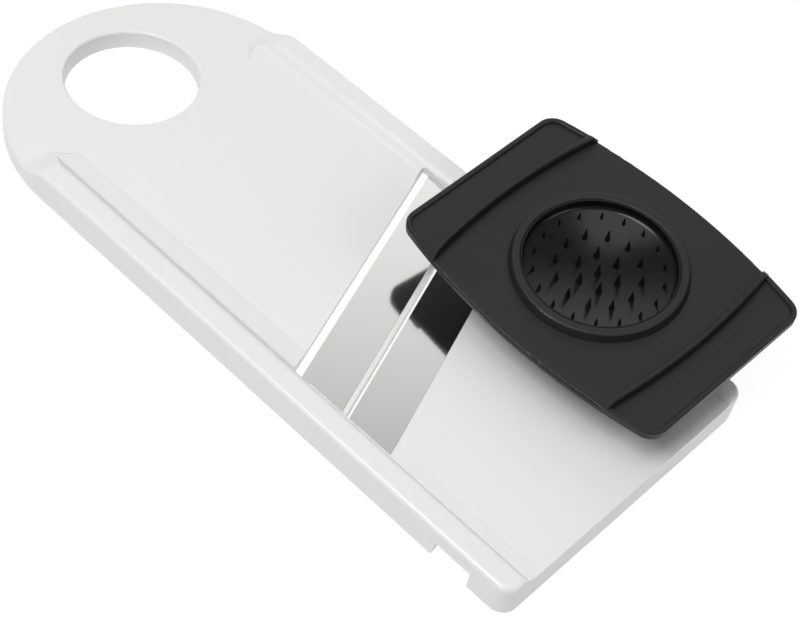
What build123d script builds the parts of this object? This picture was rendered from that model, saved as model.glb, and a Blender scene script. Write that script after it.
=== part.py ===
"""Mandoline slicer with two fixed blades and a loose food guard, in millimetres.

Frame: +X runs along the board from the head to the foot, +Y across it, +Z up.
The origin is on the axis of the hang hole, in the plane that the board stands on.
The guard lies upside down on the board: its knob stands on the outfeed table and on
the edge of the +Y rail, so it leans a few degrees.
"""

from build123d import *
from math import atan, cos, radians, sin, tan
import os

# ---------------------------------------------------------------- board: driving sizes
board_width = 105.0
head_reach = 33.6  # hang hole's axis to the tip of the head
foot_reach = 212.8  # hang hole's axis to the end of the foot
hang_hole_radius = 21.75
hole_edge_radius = 0.8
top_edge_radius = 1.4
foot_corner_radius = 5.0
side_wall = 2.2
skin = 1.8
infeed_height = 6.75
slice_thickness = 1.65  # each blade stands this far above the table before it
rail_height = 11.4
rail_width = 7.2
rail_lean = 45.0  # degrees that a rail's inner side leans from upright
rail_edge_radius = 2.8
rail_foot_radius = 3.0  # soft corner where the infeed shoulder meets the rail's inner side
ramp_start = 10.0
ramp_length = 11.5
ramp_foot_slant = 7.5  # the ramps' feet run back this far across the infeed shoulders
ramp_foot_draft = 55.0  # degrees from upright
infeed_shoulder_width = 7.8
infeed_shoulder_rise = 1.85
outfeed_shoulder_width = 4.4
outfeed_shoulder_rise = 0.45

# notches that hook over the rim of a bowl, cut up from the bottom edge near the foot
notch_width = 13.6
notch_depth = 6.1
notch_lean = 1.1
foot_block_length = 13.4

# shallow flutes that keep wet slices from sticking to the infeed table
flute_count = 10
flute_pitch = 6.6
flute_land = 0.25
flute_depth = 0.12
flute_length = 44.0
flute_middle = 34.0

# ribs under the tables
rib_thickness = 1.6
rib_inset = 1.0  # the ribs stop this far above the bottom edge
infeed_ribs = 3
first_rib = 31.0
rib_spacing = 24.0

# ---------------------------------------------------------------- blades and throats
blade_skew = 20.4  # degrees from square across the board
lip_position = 105.3  # infeed lip on the centre line, from the hang hole's axis
front_throat = 3.2
rear_throat = 1.5
blade_width = 15.2
blade_thickness = 0.8
bevel_length = 2.2
cutting_edge = 0.1
blade_overhang = 3.6  # how far a blade stands out in front of its seat
blade_tuck = 1.6  # how far each end goes into the rail
seat_clearance = 0.05
throat_inset = 8.5  # side edge of the board to the end of a throat
throat_corner_radius = 1.2
rail_inner_wall = 2.8
crossbar_lip = 1.5
crossbar_depth = 3.4
crossbar_chamfer = 1.6

# ---------------------------------------------------------------- food guard: driving sizes
guard_length = 100.6
guard_width = 76.5
guard_end_width = 64.6
guard_corner_radius = 6.0
plate_thickness = 2.3
plate_edge_radius = 0.7
border_width = 1.7
border_height = 0.9
border_chamfer = 0.35
guide_rib_position = 37.1
guide_rib_bow = 3.5
guide_rib_thickness = 1.7
guide_rib_height = 3.0
guide_rib_edge_radius = 0.45
guide_rib_reach = 36.3  # where a rib's sloping end would meet the plate's face
ring_radius = 26.9
ring_draft = 0.85
ring_height = 2.8
ring_edge_radius = 0.5
disc_radius = 23.5
disc_drop = 0.35  # rim of the dish below the plate's face
disc_thickness = 1.3
dish_depth = 3.4
lip_width = 0.5
lip_drop = 0.35  # top of the disc's lip below the top of the ring
lip_foot_radius = 1.5
spike_pitch = 6.54
spike_tip_level = 1.35  # above the plate's face, the same for every spike
spike_radii = (1.1, 1.1, 0.95, 0.65)  # middle, then each ring outwards
spike_phases = (0.0, 15.0, 0.0, 10.0)
spike_tip_radius = 0.15
spike_root = 0.5  # how far a spike's foot is sunk into the disc
cup_wall = 1.5
hub_radius = 6.5
hub_web = 2.0
screw_head_radius = 3.4
screw_head_height = 2.3
screw_shank_radius = 1.6
screw_length = 7.0
screw_slot_width = 0.9
screw_slot_depth = 1.1
screw_slot_length = 4.6
screw_crown_inset = 1.4
knob_radius = 17.0
knob_face_radius = 8.0
knob_dome_height = 6.6
knob_dome_radius = 12.0
knob_band = 1.5
knob_neck_radius = 12.0
guard_depth = 17.65  # plate's spiked face to the knob's flat face

# where the knob stands, and how the guard is turned on it
knob_from_foot = 51.7
knob_from_side = 10.75
guard_turn = -1.8
rest_gap = 0.2

# ---------------------------------------------------------------- derived sizes: board
half_width = board_width / 2
head_centre = half_width - head_reach
rail_inner = half_width - rail_width
rail_rounding = rail_edge_radius * tan(radians(90 - rail_lean) / 2)
infeed_shoulder_top = infeed_height + infeed_shoulder_rise
infeed_rail_foot = rail_inner - (rail_height - infeed_shoulder_top) * tan(radians(rail_lean))
throat_half = half_width - throat_inset
front_blade_top = infeed_height + slice_thickness
outfeed_height = front_blade_top + slice_thickness
blade_seats = (front_blade_top - blade_thickness, outfeed_height - blade_thickness)
blade_fronts = (front_throat, front_throat + blade_width + crossbar_lip + rear_throat)
crossbar_front = blade_fronts[0] + blade_overhang
crossbar_back = blade_fronts[0] + blade_width + crossbar_lip
ledge_front = blade_fronts[1] + blade_overhang
ledge_back = blade_fronts[1] + blade_width
groove_inner = throat_half + rail_inner_wall
notch_end = foot_reach - foot_block_length
notch_start = notch_end - notch_width
outfeed_rib = (lip_position + ledge_back + notch_start) / 2

skew = radians(blade_skew)
across_blades = Vector(cos(skew), sin(skew), 0)
along_blades = Vector(sin(skew), -cos(skew), 0)
blade_plane = Plane(origin=(lip_position, 0, 0), x_dir=across_blades, z_dir=along_blades)


def skewed_strip(start, end):
    """Plan of a strip across the board, between two distances behind the infeed lip."""
    reach = board_width
    corners = [(start, -reach), (end, -reach), (end, reach), (start, reach)]
    skewed = [(lip_position + (u - v * sin(skew)) / cos(skew), v) for u, v in corners]
    return Polygon(*skewed, align=None)


def channel_outline(floor, shoulder_width, shoulder_rise):
    """Half of the space above a table: flat floor, low shoulder, leaning wall, rounded rim."""
    above = rail_height + 1
    shoulder_top = floor + shoulder_rise
    wall_foot = rail_inner - (rail_height - shoulder_top) * tan(radians(rail_lean))
    arc_start = rail_inner - rail_rounding * sin(radians(rail_lean))
    arc_height = rail_height - rail_rounding * cos(radians(rail_lean))
    Polyline((0, above), (0, floor), (wall_foot - shoulder_width, floor), (wall_foot, shoulder_top))
    wall = Line((wall_foot, shoulder_top), (arc_start, arc_height))
    TangentArc(wall @ 1, (rail_inner + rail_rounding, rail_height), tangent=wall % 1)
    Polyline((rail_inner + rail_rounding, rail_height), (rail_inner + rail_rounding, above), (0, above))


def board_plan(inset):
    """Plan of the board moved in by this much: round head, straight sides, rounded foot."""
    with BuildSketch(Plane.XY) as plan:
        with Locations((head_centre, 0)):
            Circle(half_width - inset)
        with Locations(((head_centre + foot_reach - inset) / 2, 0)):
            Rectangle(foot_reach - inset - head_centre, board_width - 2 * inset)
        fillet(plan.vertices().group_by(Axis.X)[-1], foot_corner_radius - inset)
    return plan.sketch


def side_profile(lower):
    """Side view moved down by this much: flat head, soft ramp, level rails."""
    ramp_end = ramp_start + ramp_length
    head_top = infeed_height - lower
    rail_top = rail_height - lower
    before = -2 * head_reach
    Polyline((ramp_start, head_top), (before, head_top), (before, 0), (foot_reach, 0))
    Polyline((foot_reach, 0), (foot_reach, rail_top), (ramp_end, rail_top))
    Spline(
        (ramp_start, head_top),
        (ramp_end, rail_top),
        tangents=((1, 0), (1, 0)),
        tangent_scalars=(0.8, 0.8),
    )


# ---------------------------------------------------------------- spaces cut from the board
with BuildPart() as infeed_channel:
    with BuildSketch(Plane.YZ.offset(ramp_start)) as infeed_section:
        with BuildLine():
            channel_outline(infeed_height, infeed_shoulder_width, infeed_shoulder_rise)
        make_face()
        at_foot = infeed_section.vertices().filter_by(
            lambda corner: abs(corner.Y - infeed_shoulder_top) < 0.01
        )
        fillet(at_foot, rail_foot_radius)
        mirror(about=Plane.YZ)
    extrude(amount=foot_reach)
    with BuildSketch(Plane.XY):
        skewed_strip(-2 * foot_reach, crossbar_front)
    extrude(amount=2 * rail_height, mode=Mode.INTERSECT)
    # the ramps up to the rails start on a slant
    with BuildSketch(Plane.XY.offset(infeed_height)):
        Polygon(
            (ramp_start, -infeed_rail_foot),
            (ramp_start + ramp_foot_slant, infeed_shoulder_width - infeed_rail_foot),
            (ramp_start + ramp_foot_slant, infeed_rail_foot - infeed_shoulder_width),
            (ramp_start, infeed_rail_foot),
            align=None,
        )
    extrude(amount=rail_height, taper=-ramp_foot_draft)

with BuildPart() as outfeed_channel:
    with BuildSketch(Plane.YZ.offset(ramp_start)):
        with BuildLine():
            channel_outline(outfeed_height, outfeed_shoulder_width, outfeed_shoulder_rise)
        make_face()
        mirror(about=Plane.YZ)
    extrude(amount=foot_reach)
    with BuildSketch(Plane.XY):
        skewed_strip(crossbar_front, 2 * foot_reach)
    extrude(amount=2 * rail_height, mode=Mode.INTERSECT)

with BuildPart() as throat:
    with BuildSketch(Plane.XY.offset(-1)) as throat_plan:
        skewed_strip(0, ledge_front)
        Rectangle(4 * foot_reach, 2 * throat_half, mode=Mode.INTERSECT)
        fillet(throat_plan.vertices(), throat_corner_radius)
    extrude(amount=2 * rail_height)

with BuildPart() as tray:
    # hollow under the tables, open below
    with BuildSketch(Plane.XY.offset(-1)):
        add(board_plan(side_wall))
    extrude(amount=rail_height + 1)
    with BuildSketch(Plane.XZ):
        with BuildLine():
            side_profile(skin)
        make_face()
        with Locations((0, -1)):
            Rectangle(4 * foot_reach, 2)
    extrude(amount=board_width, both=True, mode=Mode.INTERSECT)
    # under the tables the hollow ends a skin below them, and goes higher only in the rails
    zones = (
        (infeed_height - skin, -4 * foot_reach, 0),
        (blade_seats[1] - skin, 0, ledge_back + skin),
        (outfeed_height - skin, ledge_back + skin, 4 * foot_reach),
    )
    for ceiling, start, end in zones:
        with BuildSketch(Plane.XY.offset(ceiling)):
            skewed_strip(start, end)
            Rectangle(4 * foot_reach, 2 * groove_inner, mode=Mode.INTERSECT)
        extrude(amount=rail_height, mode=Mode.SUBTRACT)
    # wall around the hang hole
    with BuildSketch(Plane.XY.offset(-1)):
        Circle(hang_hole_radius + side_wall)
    extrude(amount=2 * rail_height, mode=Mode.SUBTRACT)
    # cross ribs, and a closed block at the foot
    rib_places = [first_rib + index * rib_spacing for index in range(infeed_ribs)]
    rib_places += [outfeed_rib, notch_start - rib_thickness / 2]
    with BuildSketch(Plane.XY.offset(rib_inset)):
        with Locations(*[(place, 0) for place in rib_places]):
            Rectangle(rib_thickness, board_width)
    extrude(amount=rail_height, mode=Mode.SUBTRACT)
    with BuildSketch(Plane.XY.offset(-1)):
        with Locations((notch_end + side_wall / 2, 0)):
            Rectangle(side_wall, board_width)
    extrude(amount=2 * rail_height, mode=Mode.SUBTRACT)

with BuildPart() as crossbar:
    seat = blade_seats[0]
    with BuildSketch(blade_plane):
        with BuildLine():
            Polyline(
                (crossbar_front, seat),
                (crossbar_back - crossbar_lip, seat),
                (crossbar_back - crossbar_lip, front_blade_top),
                (crossbar_back, front_blade_top),
                (crossbar_back, seat - crossbar_depth + crossbar_chamfer),
                (crossbar_back - crossbar_chamfer, seat - crossbar_depth),
                (crossbar_front + crossbar_depth, seat - crossbar_depth),
                close=True,
            )
        make_face()
    extrude(amount=board_width, both=True)
    with BuildSketch(Plane.XY):
        Rectangle(4 * foot_reach, throat_half + groove_inner)
    extrude(amount=rail_height, mode=Mode.INTERSECT)

with BuildPart() as flute:
    # slender lens on the X axis: its underside dips below the table over a long shallow arc
    flute_width = flute_pitch - flute_land
    cross_radius = flute_width**2 / (8 * flute_depth)
    end_radius = cross_radius - flute_depth
    with BuildSketch(Plane.XZ):
        with BuildLine():
            crest = ThreePointArc(
                (-flute_length / 2, end_radius), (0, cross_radius), (flute_length / 2, end_radius)
            )
            Polyline(crest @ 1, (flute_length / 2, 0), (-flute_length / 2, 0), crest @ 0)
        make_face()
    revolve(axis=Axis.X)
    # only the sliver near its underside is used
    with BuildSketch(Plane.XY.offset(-cross_radius - 1)):
        Rectangle(flute_length, 2 * cross_radius)
    extrude(amount=1 + 2 * flute_depth, mode=Mode.INTERSECT)

with BuildPart() as blade_pockets:
    # room for the blades' ends in the rails, and for the rear blade in the outfeed table
    for front, seat in zip(blade_fronts, blade_seats):
        with BuildSketch(blade_plane):
            with Locations((front + blade_width / 2, seat + (blade_thickness + seat_clearance) / 2)):
                Rectangle(blade_width + 2 * seat_clearance, blade_thickness + seat_clearance)
        extrude(amount=board_width, both=True)
    with BuildSketch(Plane.XY):
        Rectangle(4 * foot_reach, 2 * (throat_half + blade_tuck + seat_clearance))
    extrude(amount=2 * rail_height, mode=Mode.INTERSECT)
    with BuildSketch(Plane.XY.offset(blade_seats[1])):
        skewed_strip(ledge_front - throat_corner_radius, ledge_back + seat_clearance)
        Rectangle(4 * foot_reach, 2 * throat_half, mode=Mode.INTERSECT)
    extrude(amount=rail_height)

# ---------------------------------------------------------------- board
with BuildPart() as board:
    with BuildSketch(Plane.XY):
        add(board_plan(0))
    extrude(amount=rail_height)
    with BuildSketch(Plane.XZ):
        with BuildLine():
            side_profile(0)
        make_face()
    extrude(amount=board_width, both=True, mode=Mode.INTERSECT)
    side_faces = board.faces().filter_by(lambda face: abs(face.normal_at().Z) < 0.1)
    top_rim = side_faces.edges().filter_by(lambda edge: edge.center().Z > infeed_height - 0.1)
    fillet(top_rim, top_edge_radius)

    # tables, rails, throats and the hollow underneath
    for space in (infeed_channel, outfeed_channel, throat, tray):
        add(space.part, mode=Mode.SUBTRACT)
    add(crossbar.part)
    add(blade_pockets.part, mode=Mode.SUBTRACT)

    Hole(hang_hole_radius)
    hole_rims = board.edges().filter_by(GeomType.CIRCLE)
    hole_rims = hole_rims.filter_by(lambda edge: abs(edge.radius - hang_hole_radius) < 0.01)
    fillet(hole_rims.sort_by(Axis.Z)[-1], hole_edge_radius)

    # notches through both side walls
    with BuildSketch(Plane.XZ):
        Polygon(
            (notch_start, -1),
            (notch_end, -1),
            (notch_end, notch_depth),
            (notch_start + notch_lean, notch_depth),
            align=None,
        )
    extrude(amount=board_width, both=True, mode=Mode.SUBTRACT)

    # flutes
    with Locations((flute_middle, 0, infeed_height + end_radius)):
        with GridLocations(0, flute_pitch, 1, flute_count):
            add(flute.part, mode=Mode.SUBTRACT)

# ---------------------------------------------------------------- blades
blades = []
for front, seat in zip(blade_fronts, blade_seats):
    # a flat strip, ground to an edge on its underside, whose ends are cut along the rails
    with BuildPart() as blade:
        back = front + blade_width
        top = seat + blade_thickness
        with BuildSketch(blade_plane):
            Polygon(
                (front, top),
                (back, top),
                (back, seat),
                (front + bevel_length, seat),
                (front, top - cutting_edge),
                align=None,
            )
        extrude(amount=board_width, both=True)
        with BuildSketch(Plane.XY):
            Rectangle(4 * foot_reach, 2 * (throat_half + blade_tuck))
        extrude(amount=rail_height, mode=Mode.INTERSECT)
    blades.append(blade.part)
front_blade, rear_blade = blades

# ---------------------------------------------------------------- derived sizes: guard
# the knob's flat face touches the outfeed table at its near rim and the rail's rounded
# edge further out, and this sets how far the guard leans
knob_stand_x = foot_reach - knob_from_foot
knob_stand_y = half_width - knob_from_side
lean_span = rail_inner + rail_rounding - knob_stand_y + knob_face_radius
guard_lean = atan((rail_height - outfeed_height) / lean_span)
knob_face_height = outfeed_height + rest_gap + knob_face_radius * sin(guard_lean)
guard_normal = Vector(0, -sin(guard_lean), cos(guard_lean))
turn = radians(guard_turn)
guard_along = Vector(cos(turn), sin(turn) * cos(guard_lean), sin(turn) * sin(guard_lean))
guard_centre = Vector(knob_stand_x, knob_stand_y, knob_face_height) + guard_normal * guard_depth
guard_plane = Plane(origin=guard_centre, x_dir=guard_along, z_dir=guard_normal)
guard_section = Plane(origin=guard_centre, x_dir=guard_along, z_dir=-guard_plane.y_dir)
guard_cross_section = Plane(origin=guard_centre, x_dir=guard_plane.y_dir, z_dir=guard_along)
guard_axis = Axis(guard_centre, guard_normal)

guide_rib_end = guide_rib_position - guide_rib_bow
dish_bottom = -disc_drop - dish_depth
cup_floor = dish_bottom - disc_thickness
cup_bottom = cup_floor - cup_wall
screw_seat = cup_floor - screw_head_height - seat_clearance
hub_bottom = screw_seat - hub_web


def guard_outline():
    """Plan of the guard: straight ends and gently bowed long sides."""
    x = guard_length / 2
    y = guard_end_width / 2
    for side in (1, -1):
        ThreePointArc((-x, side * y), (0, side * guard_width / 2), (x, side * y))
        Line((side * x, -y), (side * x, y))


def lies_mid_length(edge):
    """True for an edge whose middle is half way along the guard."""
    return abs(guard_plane.to_local_coords(edge.center()).X) < 1


# ---------------------------------------------------------------- guard plate
with BuildPart() as guide_ribs:
    # two bowed ribs from edge to edge, which run along the rails in use
    with BuildSketch(guard_plane.offset(-plate_thickness / 2)):
        for side in (1, -1):
            with BuildLine(mode=Mode.PRIVATE) as rib_line:
                ThreePointArc(
                    (side * guide_rib_end, -guard_width / 2),
                    (side * guide_rib_position, 0),
                    (side * guide_rib_end, guard_width / 2),
                )
            SlotArc(rib_line.edge(), guide_rib_thickness)
    extrude(amount=plate_thickness / 2 + guide_rib_height)
    fillet(guide_ribs.edges().group_by(guard_axis)[-1], guide_rib_edge_radius)
    # ends flush with the plate's edge, then sloping up
    with BuildSketch(guard_plane.offset(-plate_thickness)):
        with BuildLine():
            guard_outline()
        make_face()
    extrude(amount=plate_thickness + guide_rib_height, mode=Mode.INTERSECT)
    with BuildSketch(guard_cross_section):
        Polygon(
            (-guide_rib_reach - plate_thickness, -plate_thickness),
            (guide_rib_reach + plate_thickness, -plate_thickness),
            (guide_rib_reach - guide_rib_height, guide_rib_height),
            (guide_rib_height - guide_rib_reach, guide_rib_height),
            align=None,
        )
    extrude(amount=guard_length, both=True, mode=Mode.INTERSECT)

with BuildPart() as guard_plate:
    with BuildSketch(guard_plane.offset(-plate_thickness)) as outline:
        with BuildLine():
            guard_outline()
        make_face()
        fillet(outline.vertices(), guard_corner_radius)
    extrude(amount=plate_thickness)

    # low border round each end, outside the guide ribs
    with BuildSketch(guard_plane) as border:
        with BuildLine():
            guard_outline()
        make_face()
        fillet(border.vertices(), guard_corner_radius)
        offset(amount=-border_width, mode=Mode.SUBTRACT)
        Rectangle(2 * guide_rib_end, 2 * guard_width, mode=Mode.SUBTRACT)
    extrude(amount=border_height)
    chamfer(guard_plate.edges().group_by(guard_axis)[-1], border_chamfer)
    fillet(guard_plate.edges().group_by(guard_axis)[0], plate_edge_radius)
    face_edges = guard_plate.edges().filter_by_position(guard_axis, -0.01, 0.01)
    fillet(face_edges.filter_by(lies_mid_length), plate_edge_radius)

    add(guide_ribs.part)

    # raised ring round the disc, cup that carries the disc, and hub for the knob
    with BuildSketch(guard_section) as ring_section:
        with BuildLine():
            Polyline(
                (0, -plate_thickness / 2),
                (ring_radius, -plate_thickness / 2),
                (ring_radius, 0),
                (ring_radius - ring_draft, ring_height),
                (0, ring_height),
                close=True,
            )
        make_face()
        fillet(ring_section.vertices().group_by(Axis.Y)[-1].sort_by(Axis.X)[-1], ring_edge_radius)
    revolve(axis=guard_axis)
    with BuildSketch(guard_section):
        with BuildLine():
            Polyline(
                (0, -plate_thickness / 2),
                (disc_radius + cup_wall, -plate_thickness / 2),
                (disc_radius + cup_wall, cup_bottom),
                (hub_radius, cup_bottom),
                (hub_radius, hub_bottom),
                (0, hub_bottom),
                close=True,
            )
        make_face()
    revolve(axis=guard_axis)
    with BuildSketch(guard_section):
        with BuildLine():
            bore = Line((disc_radius, cup_floor), (disc_radius, ring_height - ring_edge_radius))
            mouth = TangentArc(bore @ 1, (disc_radius + ring_edge_radius, ring_height), tangent=bore % 1)
            Polyline(mouth @ 1, (disc_radius + ring_edge_radius, ring_height + 1), (0, ring_height + 1))
            Polyline(
                (disc_radius, cup_floor),
                (screw_head_radius + seat_clearance, cup_floor),
                (screw_head_radius + seat_clearance, screw_seat),
                (screw_shank_radius + seat_clearance, screw_seat),
                (screw_shank_radius + seat_clearance, hub_bottom - 1),
                (0, hub_bottom - 1),
                (0, ring_height + 1),
            )
        make_face()
    revolve(axis=guard_axis, mode=Mode.SUBTRACT)

# ---------------------------------------------------------------- spiked disc
with BuildPart() as spike_disc:
    # deep dish, near a parabola, with an upturned lip that stands against the ring
    with BuildSketch(guard_section) as disc_section:
        with BuildLine():
            rim = disc_radius - seat_clearance
            dish_rim = rim - lip_width
            lip_top = ring_height - lip_drop
            Polyline(
                (0, dish_bottom),
                (0, cup_floor),
                (rim, cup_floor),
                (rim, lip_top),
                (dish_rim, lip_top),
                (dish_rim, -disc_drop),
            )
            Spline(
                (0, dish_bottom),
                (dish_rim, -disc_drop),
                tangents=((1, 0), (1, 2 * dish_depth / dish_rim)),
            )
        make_face()
        lip_foot = disc_section.vertices().sort_by_distance((dish_rim, -disc_drop))
        fillet(lip_foot[0], lip_foot_radius)
    revolve(axis=guard_axis)
    # pointed spikes whose tips are level
    for ring, (radius, phase) in enumerate(zip(spike_radii, spike_phases)):
        circle = ring * spike_pitch
        foot = -disc_drop - dish_depth * (1 - (circle / dish_rim) ** 2) - spike_root
        with Locations(guard_plane.offset(foot)):
            with PolarLocations(circle, max(1, 6 * ring), start_angle=phase):
                Cone(
                    radius,
                    spike_tip_radius,
                    spike_tip_level - foot,
                    align=(Align.CENTER, Align.CENTER, Align.MIN),
                )

# ---------------------------------------------------------------- knob
with BuildPart() as knob:
    with BuildSketch(guard_section):
        with BuildLine():
            face = -guard_depth
            shoulder = face + knob_dome_height
            band_top = shoulder + knob_band
            pilot = screw_shank_radius + seat_clearance
            pilot_end = screw_seat - screw_length - seat_clearance
            sleeve = hub_radius + seat_clearance
            Polyline((0, pilot_end), (0, face), (knob_face_radius, face))
            RadiusArc((knob_face_radius, face), (knob_radius, shoulder), -knob_dome_radius)
            Line((knob_radius, shoulder), (knob_radius, band_top))
            Spline((knob_radius, band_top), (knob_neck_radius, cup_bottom), tangents=((0, 1), (0, 1)))
            Polyline(
                (knob_neck_radius, cup_bottom),
                (sleeve, cup_bottom),
                (sleeve, hub_bottom),
                (pilot, hub_bottom),
                (pilot, pilot_end),
                (0, pilot_end),
            )
        make_face()
    revolve(axis=guard_axis)

# ---------------------------------------------------------------- knob screw
with BuildPart() as knob_screw:
    with BuildSketch(guard_section):
        with BuildLine():
            head_top = screw_seat + screw_head_height
            crown = screw_head_radius - screw_crown_inset
            Polyline((crown, head_top), (0, head_top), (0, screw_seat - screw_length))
            Polyline(
                (0, screw_seat - screw_length),
                (screw_shank_radius, screw_seat - screw_length + screw_shank_radius),
                (screw_shank_radius, screw_seat),
                (screw_head_radius, screw_seat),
                (screw_head_radius, screw_seat + screw_head_height / 2),
            )
            TangentArc(
                (screw_head_radius, screw_seat + screw_head_height / 2), (crown, head_top), tangent=(0, 1)
            )
        make_face()
    revolve(axis=guard_axis)
    with BuildSketch(guard_plane.offset(head_top)):
        Rectangle(screw_slot_length, screw_slot_width)
        Rectangle(screw_slot_width, screw_slot_length)
    extrude(amount=-screw_slot_depth, mode=Mode.SUBTRACT)

# ---------------------------------------------------------------- files
os.makedirs("parts", exist_ok=True)
pieces = {
    "board": board.part,
    "front_blade": front_blade,
    "rear_blade": rear_blade,
    "guard_plate": guard_plate.part,
    "spike_disc": spike_disc.part,
    "knob": knob.part,
    "knob_screw": knob_screw.part,
}
for name, piece in pieces.items():
    piece.label = name
    export_step(piece, f"parts/{name}.step")
    print(name, round(piece.volume), piece.is_valid, len(piece.solids()), len(piece.faces()))
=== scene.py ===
"""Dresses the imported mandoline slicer: a white moulded board with steel blades and a black food guard."""

from math import cos, pi, radians, sin

import bpy
from bpy.props import FloatProperty, FloatVectorProperty, PointerProperty
from mathutils import Matrix, Vector


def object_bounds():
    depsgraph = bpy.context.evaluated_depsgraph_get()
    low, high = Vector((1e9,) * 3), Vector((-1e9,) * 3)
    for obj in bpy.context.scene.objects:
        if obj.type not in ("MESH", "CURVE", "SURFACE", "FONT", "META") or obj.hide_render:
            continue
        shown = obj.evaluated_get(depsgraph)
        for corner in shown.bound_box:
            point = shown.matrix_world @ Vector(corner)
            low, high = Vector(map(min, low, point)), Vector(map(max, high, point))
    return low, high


bl_info = {
    "name": "Mandoline Slicer Looks",
    "version": (1, 0, 0),
    "blender": (4, 5, 0),
    "location": "3D View > Sidebar > Slicer",
    "description": "Finishes for a mandoline slicer, and the studio that shows it",
    "category": "Object",
}

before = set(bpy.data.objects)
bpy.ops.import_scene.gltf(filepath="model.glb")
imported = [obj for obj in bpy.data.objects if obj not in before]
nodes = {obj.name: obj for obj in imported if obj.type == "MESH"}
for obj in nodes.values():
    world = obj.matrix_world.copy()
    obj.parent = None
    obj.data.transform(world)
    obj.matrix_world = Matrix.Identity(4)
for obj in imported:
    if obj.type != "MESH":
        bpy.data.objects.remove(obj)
cad_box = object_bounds()
MM = 0.001
WHITE = (1, 1, 1, 1)

# noise seldom leaves these values, so roughness is spread between them
NOISE_LOW = 0.3
NOISE_HIGH = 0.7


# ---------------------------------------------------------------- node helpers
class Finish:
    """A material under construction: its node tree, its Principled shader and short ways to add nodes."""

    def __init__(self, name):
        self.material = bpy.data.materials.new(name)
        self.material.use_nodes = True
        self.tree = self.material.node_tree
        self.shader = self.tree.nodes["Principled BSDF"]
        self.place = self.tree.nodes.new("ShaderNodeTexCoord").outputs["Object"]

    def node(self, kind, links=None, **values):
        """Adds a node, sets its properties and its sockets' values, and links what is given in links."""
        made = self.tree.nodes.new(kind)
        for name, value in values.items():
            if hasattr(made, name):
                setattr(made, name, value)
            else:
                made.inputs[name.replace("_", " ")].default_value = value
        for name, output in (links or {}).items():
            self.tree.links.new(output, made.inputs[name])
        return made

    def stretched(self, scale, turn=0.0):
        """Object coordinates turned about Z, then multiplied by scale along each axis."""
        turned = self.node("ShaderNodeMapping", {"Vector": self.place}, vector_type="TEXTURE")
        turned.inputs["Rotation"].default_value = (0, 0, turn)
        scaled = self.node("ShaderNodeMapping", {"Vector": turned.outputs["Vector"]})
        scaled.inputs["Scale"].default_value = scale
        return scaled.outputs["Vector"]

    def noise(self, scale, detail=3, place=None, roughness=0.5):
        """Noise with this many cells to the metre."""
        made = self.node("ShaderNodeTexNoise", {"Vector": place or self.place}, Scale=scale, Detail=detail)
        made.inputs["Roughness"].default_value = roughness
        return made.outputs["Fac"]

    def vary_roughness(self, noise, low, high):
        """Lets noise vary the roughness between two values."""
        made = self.node("ShaderNodeMapRange", {"Value": noise})
        for name, value in (
            ("From Min", NOISE_LOW),
            ("From Max", NOISE_HIGH),
            ("To Min", low),
            ("To Max", high),
        ):
            made.inputs[name].default_value = value
        self.feed("Roughness", made.outputs["Result"])

    def bump(self, height, depth, under=None):
        """Bump of this depth in metres, over another bump if one is given."""
        links = {"Height": height}
        if under:
            links["Normal"] = under
        made = self.node("ShaderNodeBump", links, Distance=depth, Strength=1.0)
        return made.outputs["Normal"]

    def set(self, **values):
        """Sets the shader's own sockets."""
        for name, value in values.items():
            self.shader.inputs[name.replace("_", " ")].default_value = value

    def feed(self, name, output):
        """Links an output into one of the shader's sockets."""
        self.tree.links.new(output, self.shader.inputs[name])


# ---------------------------------------------------------------- finishes
# plastics: index of refraction, and how strongly the guard's blacks mirror their surroundings
WHITE_PLASTIC_IOR = 1.49
BLACK_PLASTIC_IOR = 1.5
BLACK_PLASTIC_SPECULAR = 0.28

# noise cells to the metre, and the depth of the relief they make
BOARD_CLOUDS = 60
BOARD_WAVE = 25
BOARD_WAVE_DEPTH = 0.02 * MM
BOARD_GRAIN = 2500
BOARD_GRAIN_DEPTH = 0.004 * MM
GRINDING_LINES = (9000, 60, 60)  # across, along and through the blade
GRINDING_DEPTH = 0.0006 * MM
BLADE_CLOUDS = 90
BLADE_WAVE_DEPTH = 0.003 * MM
GUARD_CLOUDS = 70
GUARD_GRAIN = 3800
GUARD_GRAIN_DEPTH = 0.02 * MM
DISC_CLOUDS = 120
DISC_WAVE = 900
DISC_WAVE_DEPTH = 0.004 * MM
SCREW_CLOUDS = 1500
SCREW_COLOUR = (0.62, 0.62, 0.6, 1)
SCREW_ROUGHNESS = (0.28, 0.42)


def white_plastic(look):
    """White moulded plastic with a faint waviness and the finest of handling wear in its gloss."""
    finish = Finish("white_plastic")
    finish.set(Base_Color=(*look.colour, 1), IOR=WHITE_PLASTIC_IOR, Subsurface_Weight=look.translucency)
    finish.set(Subsurface_Radius=(1, 1, 1), Subsurface_Scale=look.depth)
    finish.vary_roughness(finish.noise(BOARD_CLOUDS, detail=4), look.roughness * 0.88, look.roughness * 1.15)
    wave = finish.bump(finish.noise(BOARD_WAVE, detail=1), BOARD_WAVE_DEPTH)
    grain = finish.noise(BOARD_GRAIN, detail=2)
    finish.feed("Normal", finish.bump(grain, BOARD_GRAIN_DEPTH, under=wave))
    return finish.material


def blade_steel(look):
    """Polished stainless strip with fine grinding lines along the blade."""
    finish = Finish("blade_steel")
    finish.set(Base_Color=(*look.colour, 1), Metallic=1.0)
    lines = finish.noise(1, detail=5, place=finish.stretched(GRINDING_LINES, look.skew), roughness=0.6)
    finish.vary_roughness(lines, look.roughness * 0.8, look.roughness * 1.3)
    wave = finish.bump(finish.noise(BLADE_CLOUDS), BLADE_WAVE_DEPTH)
    finish.feed("Normal", finish.bump(lines, GRINDING_DEPTH, under=wave))
    return finish.material


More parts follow.
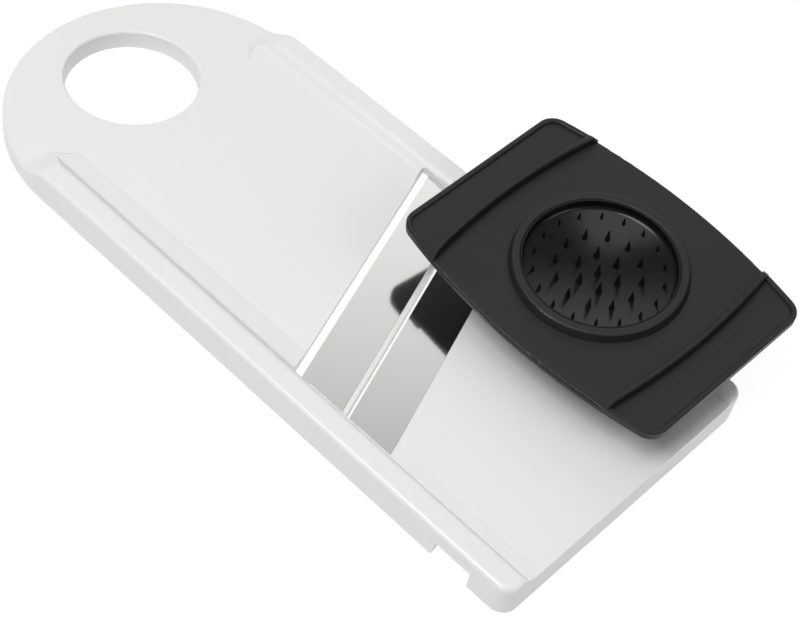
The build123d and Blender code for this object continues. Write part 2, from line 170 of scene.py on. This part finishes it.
def black_plastic(look):
    """Black moulded plastic with a fine eroded grain."""
    finish = Finish("black_plastic")
    finish.set(Base_Color=(*look.colour, 1), IOR=BLACK_PLASTIC_IOR)
    finish.set(Specular_IOR_Level=BLACK_PLASTIC_SPECULAR)
    finish.vary_roughness(finish.noise(GUARD_CLOUDS), look.roughness * 0.92, look.roughness * 1.1)
    grain = finish.noise(GUARD_GRAIN, roughness=0.6)
    finish.feed("Normal", finish.bump(grain, GUARD_GRAIN_DEPTH))
    return finish.material


def black_gloss_plastic(look):
    """Glossier black plastic of the spiked disc."""
    finish = Finish("black_gloss_plastic")
    finish.set(Base_Color=(*look.colour, 1), IOR=BLACK_PLASTIC_IOR)
    finish.set(Specular_IOR_Level=BLACK_PLASTIC_SPECULAR)
    finish.vary_roughness(finish.noise(DISC_CLOUDS), look.roughness * 0.85, look.roughness * 1.2)
    finish.feed("Normal", finish.bump(finish.noise(DISC_WAVE, detail=2), DISC_WAVE_DEPTH))
    return finish.material


def screw_steel():
    """Zinc-plated steel of the hidden screw."""
    finish = Finish("screw_steel")
    finish.set(Base_Color=SCREW_COLOUR, Metallic=1.0)
    finish.vary_roughness(finish.noise(SCREW_CLOUDS), *SCREW_ROUGHNESS)
    return finish.material


def dress(name, material):
    """Gives a CAD node this material in every slot."""
    mesh = nodes[name].data
    mesh.materials.clear()
    mesh.materials.append(material)


# ---------------------------------------------------------------- settings
class SLICER_PG_board(bpy.types.PropertyGroup):
    """Finish of the moulded board."""

    colour: FloatVectorProperty(
        name="Plastic", description="Colour of the moulded plastic", subtype="COLOR", size=3,
        default=(0.66, 0.66, 0.655), min=0, max=1,
    )
    roughness: FloatProperty(
        name="Roughness", description="Mean roughness of the board's surface", subtype="FACTOR",
        default=0.36, min=0, max=1,
    )
    translucency: FloatProperty(
        name="Translucency", description="Share of the light that scatters inside the plastic",
        subtype="FACTOR", default=0.15, min=0, max=1,
    )
    depth: FloatProperty(
        name="Depth", description="How far light scatters inside the plastic", unit="LENGTH",
        default=1.2 * MM, min=0,
    )


class SLICER_PG_blades(bpy.types.PropertyGroup):
    """Finish of the two blades."""

    colour: FloatVectorProperty(
        name="Steel", description="Tint of the stainless steel", subtype="COLOR", size=3,
        default=(0.78, 0.765, 0.745), min=0, max=1,
    )
    roughness: FloatProperty(
        name="Roughness", description="Mean roughness of the polished strip", subtype="FACTOR",
        default=0.1, min=0, max=1,
    )
    skew: FloatProperty(
        name="Skew", description="Turn of the blades from square across the board", subtype="ANGLE",
        default=radians(20.4),
    )


class SLICER_PG_guard(bpy.types.PropertyGroup):
    """Finish of the guard's plate and knob."""

    colour: FloatVectorProperty(
        name="Plastic", description="Colour of the guard's plastic", subtype="COLOR", size=3,
        default=(0.014, 0.0145, 0.015), min=0, max=1,
    )
    roughness: FloatProperty(
        name="Roughness", description="Mean roughness of the guard's surface", subtype="FACTOR",
        default=0.42, min=0, max=1,
    )


class SLICER_PG_disc(bpy.types.PropertyGroup):
    """Finish of the spiked disc."""

    colour: FloatVectorProperty(
        name="Plastic", description="Colour of the disc's plastic", subtype="COLOR", size=3,
        default=(0.006, 0.006, 0.0065), min=0, max=1,
    )
    roughness: FloatProperty(
        name="Roughness", description="Mean roughness of the disc's surface", subtype="FACTOR",
        default=0.2, min=0, max=1,
    )


class SLICER_PG_stage(bpy.types.PropertyGroup):
    """Camera and studio."""

    target: FloatVectorProperty(
        name="Target", description="Point that the camera looks at", subtype="TRANSLATION", unit="LENGTH",
        size=3, default=(120.8 * MM, 2.97 * MM, 0),
    )
    distance: FloatProperty(
        name="Distance", description="From the target to the camera", unit="LENGTH",
        default=507.8 * MM, min=0,
    )
    azimuth: FloatProperty(
        name="Azimuth", description="Camera's bearing from the target, counted from +X", subtype="ANGLE",
        default=radians(-55.29),
    )
    elevation: FloatProperty(
        name="Elevation", description="Camera's height angle above the floor", subtype="ANGLE",
        default=radians(49.29),
    )
    roll: FloatProperty(
        name="Roll", description="Turn of the picture about the line of sight", subtype="ANGLE",
        default=radians(12.43),
    )
    lens: FloatProperty(
        name="Lens", description="Focal length on a 36 mm wide sensor, in millimetres", default=75.8, min=1,
    )
    floor_size: FloatProperty(
        name="Floor", description="Side of the square floor", unit="LENGTH", default=6.0, min=0,
    )
    floor_glow: FloatProperty(
        name="Floor's glow", description="Light that comes up through the floor", default=0.93, min=0,
    )
    surroundings: FloatProperty(
        name="Surroundings", description="Brightness of the white room", default=0.18, min=0,
    )
    bright_wall: FloatProperty(
        name="Bright wall", description="Brightness of the middle of the bright wall", default=1.24, min=0,
    )
    bright_side: FloatVectorProperty(
        name="Bright side", description="Bearing of the bright wall", subtype="DIRECTION", size=3,
        default=(-0.55, 0.72, 0.42),
    )
    glow_reach: FloatProperty(
        name="Glow's reach", description="Angle at which the bright wall has faded out", subtype="ANGLE",
        default=radians(40),
    )


FLOOR_COLOUR = (0.08, 0.08, 0.08, 1)
FLOOR_ROUGHNESS = 0.9
SENSOR_WIDTH = 36  # millimetres, as Blender counts it
NEAREST_SEEN = 10 * MM

# each lamp's place from the part's middle, side and brightness
LAMPS = {
    "overhead_panel": ((-0.05, -0.1, 2.0), 1.3, 1.85),
    "front_panel": ((-0.2, -0.9, 1.4), 0.9, 8.7),
    "side_panel": ((1.3, 0.2, 1.0), 0.9, 1.9),
    "glint_lamp": ((-0.25, -0.16, 1.1), 0.08, 16.0),
}


# ---------------------------------------------------------------- operators
class SLICER_OT_board(bpy.types.Operator):
    """Give the moulded board its white plastic"""

    bl_idname = "slicer.board"
    bl_label = "Board"

    def execute(self, context):
        dress("board", white_plastic(context.scene.slicer_board))
        return {"FINISHED"}


class SLICER_OT_blades(bpy.types.Operator):
    """Give both blades their polished steel"""

    bl_idname = "slicer.blades"
    bl_label = "Blades"

    def execute(self, context):
        steel = blade_steel(context.scene.slicer_blades)
        for name in ("front_blade", "rear_blade"):
            dress(name, steel)
        return {"FINISHED"}


class SLICER_OT_guard(bpy.types.Operator):
    """Give the guard's plate and knob their grained black plastic, and its screw its zinc"""

    bl_idname = "slicer.guard"
    bl_label = "Guard"

    def execute(self, context):
        plastic = black_plastic(context.scene.slicer_guard)
        for name in ("guard_plate", "knob"):
            dress(name, plastic)
        dress("knob_screw", screw_steel())
        return {"FINISHED"}


class SLICER_OT_disc(bpy.types.Operator):
    """Give the spiked disc its glossier black plastic"""

    bl_idname = "slicer.disc"
    bl_label = "Spiked disc"

    def execute(self, context):
        dress("spike_disc", black_gloss_plastic(context.scene.slicer_disc))
        return {"FINISHED"}


class SLICER_OT_stage(bpy.types.Operator):
    """Set up the pale floor, the soft lights and the camera"""

    bl_idname = "slicer.stage"
    bl_label = "Stage"

    def execute(self, context):
        stage = context.scene.slicer_stage
        self.add_floor(stage)
        self.add_world(context.scene, stage)
        middle = (cad_box[0] + cad_box[1]) / 2
        for name, (offset, side, radiance) in LAMPS.items():
            self.add_light(name, middle + Vector(offset), middle, side, radiance)
        self.add_camera(context.scene, stage)
        return {"FINISHED"}

    def add_floor(self, stage):
        """Sheet at the level that the board stands on, whose white comes mostly from its own glow."""
        half = stage.floor_size / 2
        level = cad_box[0].z
        mesh = bpy.data.meshes.new("floor")
        corners = [(x * half, y * half, level) for x, y in ((-1, -1), (1, -1), (1, 1), (-1, 1))]
        mesh.from_pydata(corners, [], [(0, 1, 2, 3)])
        floor = bpy.data.objects.new("floor", mesh)
        bpy.context.scene.collection.objects.link(floor)
        finish = Finish("floor_white")
        finish.set(Base_Color=FLOOR_COLOUR, Roughness=FLOOR_ROUGHNESS)
        finish.set(Emission_Color=WHITE, Emission_Strength=stage.floor_glow)
        mesh.materials.append(finish.material)

    def add_world(self, scene, stage):
        """White room that brightens softly towards the wall behind the head."""
        world = bpy.data.worlds.new("studio")
        world.use_nodes = True
        tree = world.node_tree
        way = tree.nodes.new("ShaderNodeTexCoord")
        towards = tree.nodes.new("ShaderNodeVectorMath")
        towards.operation = "DOT_PRODUCT"
        towards.inputs[1].default_value = Vector(stage.bright_side).normalized()
        glow = tree.nodes.new("ShaderNodeMapRange")
        glow.interpolation_type = "SMOOTHSTEP"
        for name, value in (
            ("From Min", cos(stage.glow_reach)),
            ("From Max", 1.0),
            ("To Min", stage.surroundings),
            ("To Max", stage.bright_wall),
        ):
            glow.inputs[name].default_value = value
        background = tree.nodes["Background"]
        tree.links.new(way.outputs["Generated"], towards.inputs[0])
        tree.links.new(towards.outputs["Value"], glow.inputs["Value"])
        tree.links.new(glow.outputs["Result"], background.inputs["Strength"])
        background.inputs["Color"].default_value = WHITE
        scene.world = world

    def add_light(self, name, place, aim, side, radiance):
        """Soft square lamp that faces a point; its power is pi times its area times its radiance."""
        lamp = bpy.data.lights.new(name, "AREA")
        lamp.size = side
        lamp.energy = pi * side**2 * radiance
        lit = bpy.data.objects.new(name, lamp)
        lit.location = place
        lit.rotation_euler = (aim - place).to_track_quat("-Z", "Y").to_euler()
        bpy.context.scene.collection.objects.link(lit)

    def add_camera(self, scene, stage):
        """Camera on a sphere about the target, rolled about its own line of sight."""
        back = Vector((
            cos(stage.elevation) * cos(stage.azimuth),
            cos(stage.elevation) * sin(stage.azimuth),
            sin(stage.elevation),
        ))
        level = Vector((0, 0, 1)).cross(back).normalized()
        upright = back.cross(level)
        right = level * cos(stage.roll) + upright * sin(stage.roll)
        up = upright * cos(stage.roll) - level * sin(stage.roll)
        turn = Matrix((right, up, back)).transposed().to_4x4()
        camera = bpy.data.objects.new("camera", bpy.data.cameras.new("camera"))
        camera.data.sensor_width = SENSOR_WIDTH
        camera.data.lens = stage.lens
        camera.data.clip_start = NEAREST_SEEN
        camera.matrix_world = Matrix.Translation(Vector(stage.target) + back * stage.distance) @ turn
        scene.collection.objects.link(camera)
        scene.camera = camera
        scene.view_settings.view_transform = "Standard"


class SLICER_PT_looks(bpy.types.Panel):
    """Lists the slicer's pieces and their settings"""

    bl_idname = "SLICER_PT_looks"
    bl_label = "Slicer"
    bl_space_type = "VIEW_3D"
    bl_region_type = "UI"
    bl_category = "Slicer"

    def draw(self, context):
        for operator, group in zip(OPERATORS, SETTINGS):
            box = self.layout.box()
            box.operator(operator.bl_idname)
            settings = getattr(context.scene, group)
            for name in SETTINGS[group].__annotations__:
                box.prop(settings, name)


OPERATORS = (SLICER_OT_board, SLICER_OT_blades, SLICER_OT_guard, SLICER_OT_disc, SLICER_OT_stage)
SETTINGS = {
    "slicer_board": SLICER_PG_board,
    "slicer_blades": SLICER_PG_blades,
    "slicer_guard": SLICER_PG_guard,
    "slicer_disc": SLICER_PG_disc,
    "slicer_stage": SLICER_PG_stage,
}


def register():
    """Registers every class and hangs the settings on the scene."""
    for group in SETTINGS.values():
        bpy.utils.register_class(group)
    for name, group in SETTINGS.items():
        setattr(bpy.types.Scene, name, PointerProperty(type=group))
    for part in (*OPERATORS, SLICER_PT_looks):
        bpy.utils.register_class(part)


def unregister():
    """Undoes register."""
    for part in (SLICER_PT_looks, *reversed(OPERATORS)):
        bpy.utils.unregister_class(part)
    for name in SETTINGS:
        delattr(bpy.types.Scene, name)
    for group in reversed(SETTINGS.values()):
        bpy.utils.unregister_class(group)


def main():
    """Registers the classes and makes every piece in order."""
    register()
    bpy.ops.slicer.board()
    bpy.ops.slicer.blades()
    bpy.ops.slicer.guard()
    bpy.ops.slicer.disc()
    bpy.ops.slicer.stage()


if __name__ == "__main__":
    main()
